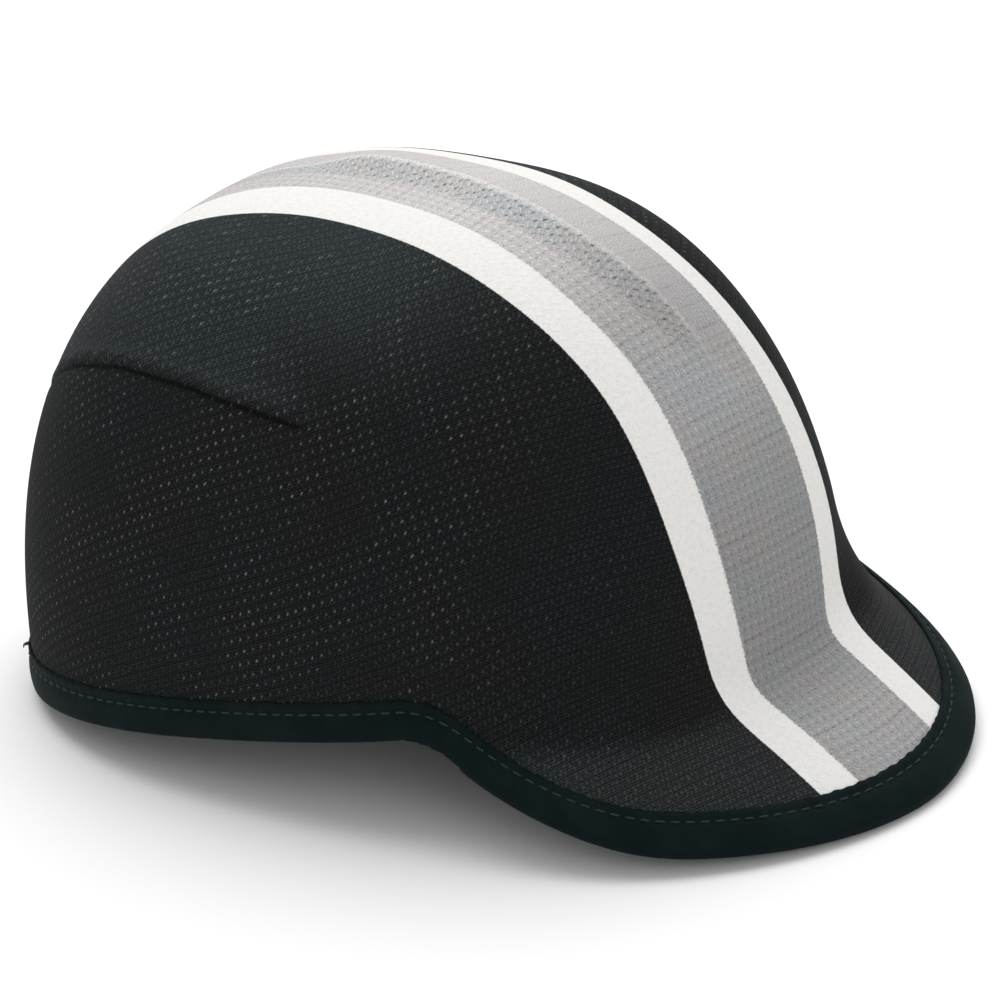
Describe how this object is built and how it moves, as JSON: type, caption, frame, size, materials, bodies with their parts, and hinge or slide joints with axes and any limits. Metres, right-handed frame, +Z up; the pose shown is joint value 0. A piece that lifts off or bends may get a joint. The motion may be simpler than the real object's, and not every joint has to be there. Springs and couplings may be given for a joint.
{
  "type": "cycling cap",
  "caption": "Soft knitted cycling cap: a hollow rounded crown whose cloth runs on over a short curved peak, with a folded tape binding round its whole edge.",
  "frame": {"origin": "under the middle of the cap's length and width, at the level of the surface it rests on", "axes": "+Z up from the surface; +Y towards the back of the cap; +X to the right of a viewer who faces the back of the cap, so -Y is the way the peak points"},
  "size_m": [0.1562, 0.2334, 0.1292],
  "materials": {
    "knit": "soft open-textured knit, black with white and grey stripes along the middle",
    "peak_cloth": "plain close cloth over the peak's firm body",
    "tape": "smooth folded tape with one row of stitches"
  },
  "bodies": {
    "root": {"crown": "knit", "peak": "peak_cloth", "binding": "tape"}
  },
  "joints": []
}
